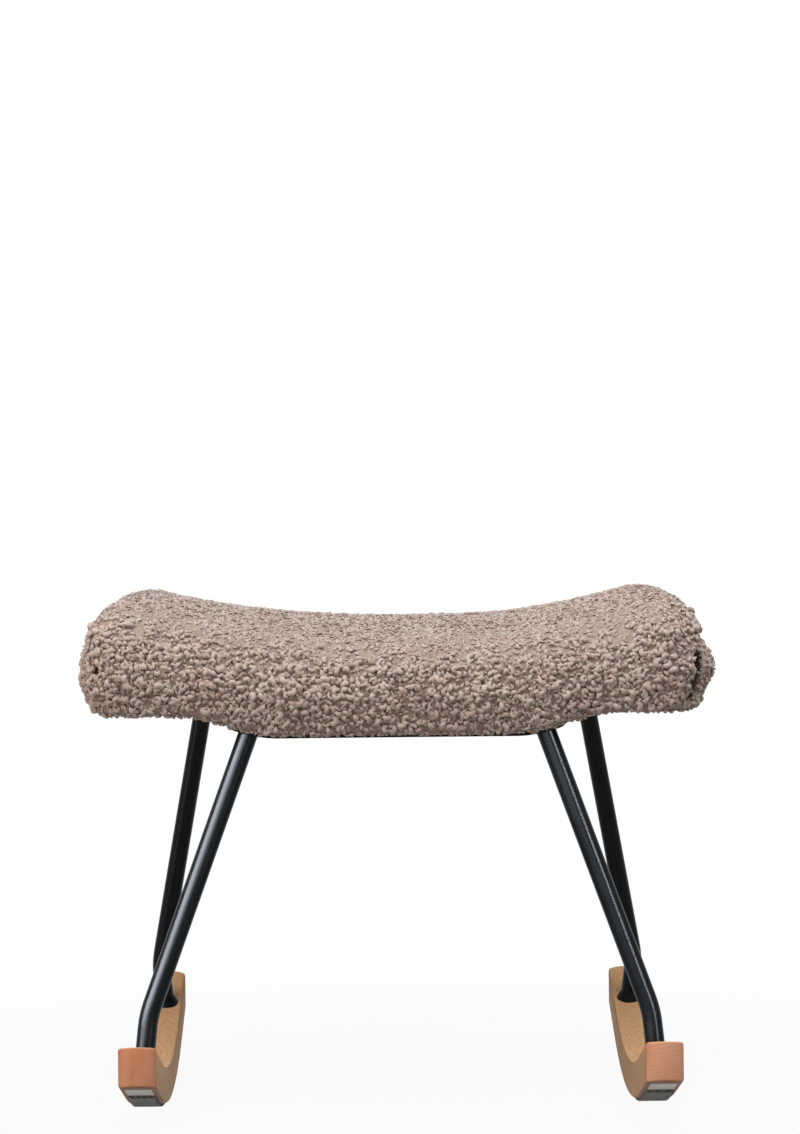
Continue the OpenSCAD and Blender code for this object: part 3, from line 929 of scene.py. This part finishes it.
# seat board: birch plywood, its edges striped by the plies
def makePlywood():
    material, tree, shader = newMaterial("birch plywood", **{"Roughness": 0.6})
    plies = addNode(tree, "ShaderNodeTexWave", {"bands_direction": "Z", "Scale": waveScale / 2.8},
                    {"Vector": objectPlace(tree)})
    grain = addNode(tree, "ShaderNodeTexNoise", {"Scale": 40.0, "Detail": 5.0},
                    {"Vector": objectPlace(tree, (1, 14, 1))})
    colour = blend(tree, grain.outputs[0], "#cfae82", "#dcc39b")
    glue = between(tree, plies.outputs[0], 0.4, 0.6, 0, 0.35)
    finish(tree, shader, blend(tree, glue, colour, "#a9835a"), None, grain.outputs[0], 0.05)
    return material


paint(["boardInside"], makePlywood())


# oak: lacquered, sawn flat from a plank, the rings nearly level and the pores along its length;
# the end grain drinks the lacquer and turns rosy
oak = {
    "pale": "#e2ad7f",
    "late": "#c59365",
    "pore": "#a4764f",
    # painted shade: the side faces are blended towards this darker colour
    "side": "#8f632c",
    "ends": {"left": "#c07a56", "right": "#cf8d6b"},
    "endDark": "#a8664a",
    "endCloud": "#d79c80",
    # painted shade: the downward faces are blended towards this darker colour
    "under": "#7c5138",
    "ring": 3.4,
    "wander": 12.0,
    "pithBelow": 48.0,
    "pithAside": 30.0,
}


def makeOak(side, o):
    toward = 1 if side == "right" else -1
    middle = rockerValues["middle"] * toward
    material, tree, shader = newMaterial("lacquered oak " + side, **{"Specular IOR Level": 0.1})
    place = objectPlace(tree, shift=((-middle - toward * o["pithAside"]) * mm, 0, o["pithBelow"] * mm))
    # the tree grew unevenly, so the rings wander and lie closer in some years
    years = addNode(tree, "ShaderNodeTexNoise", {"Scale": 1.0, "Detail": 2.0},
                    {"Vector": objectPlace(tree, (34, 5, 34))})
    drift = addNode(tree, "ShaderNodeVectorMath", {"operation": "SCALE", "Scale": o["wander"] * mm},
                    {0: years.outputs["Color"]})
    wandering = addNode(tree, "ShaderNodeVectorMath", {"operation": "ADD"},
                        {0: place, 1: drift.outputs[0]})
    rings = addNode(tree, "ShaderNodeTexWave",
                    {"wave_type": "RINGS", "rings_direction": "Y", "wave_profile": "SAW",
                     "Scale": waveScale / o["ring"], "Distortion": 1.5,
                     "Detail": 2.0, "Detail Scale": 0.3, "Detail Roughness": 0.5},
                    {"Vector": wandering.outputs[0]})
    fibres = addNode(tree, "ShaderNodeTexNoise", {"Scale": 1.0, "Detail": 4.0},
                     {"Vector": objectPlace(tree, (700, 22, 700))})
    pores = addNode(tree, "ShaderNodeTexNoise", {"Scale": 1.0, "Detail": 1.0},
                    {"Vector": objectPlace(tree, (1500, 90, 1500))})
    slanted = addNode(tree, "ShaderNodeMapping",
                      {"Scale": (60, 20, 16), "Rotation": (0, math.radians(38), 0)},
                      {"Vector": objectPlace(tree)})
    cloud = addNode(tree, "ShaderNodeTexNoise", {"Scale": 1.0, "Detail": 3.0},
                    {"Vector": slanted.outputs[0]})
    face = addNode(tree, "ShaderNodeSeparateXYZ", None,
                   {0: addNode(tree, "ShaderNodeTexCoord").outputs["Normal"]})
    ahead = addNode(tree, "ShaderNodeMath", {"operation": "ABSOLUTE"}, {0: face.outputs["Y"]})
    colour = blend(tree, between(tree, rings.outputs["Fac"], 0.0, 1.0, 0, 0.4), o["pale"], o["late"])
    colour = blend(tree, between(tree, fibres.outputs[0], 0.35, 0.65, 0, 0.75), colour, o["late"])
    colour = blend(tree, between(tree, pores.outputs[0], 0.62, 0.72, 0, 0.5), colour, o["pore"])
    aside = addNode(tree, "ShaderNodeMath", {"operation": "ABSOLUTE"}, {0: face.outputs["X"]})
    # painted shade: the side faces, picked by the x of their normal, are darkened towards the side
    # colour
    colour = blend(tree, between(tree, aside.outputs[0], 0.5, 0.85, 0, 0.8), colour, o["side"])
    endRings = between(tree, rings.outputs["Fac"], 0.2, 1.0, 0, 0.3)
    endColour = blend(tree, endRings, o["ends"][side], o["endDark"])
    endColour = blend(tree, between(tree, cloud.outputs[0], 0.4, 0.65, 0, 0.5), endColour, o["endCloud"])
    colour = blend(tree, between(tree, ahead.outputs[0], 0.4, 0.5), colour, endColour)
    # painted shade: faces that look down are darkened towards the under colour
    colour = blend(tree, between(tree, face.outputs["Z"], -0.5, -0.7), colour, o["under"])
    rough = between(tree, fibres.outputs[0], 0.3, 0.7, 0.48, 0.6)
    finish(tree, shader, colour, rough, fibres.outputs[0], 0.05, 0.5)
    return material


for side, rocker in rockers.items():
    paint([rocker.name], makeOak(side, oak))
print("finishes made")
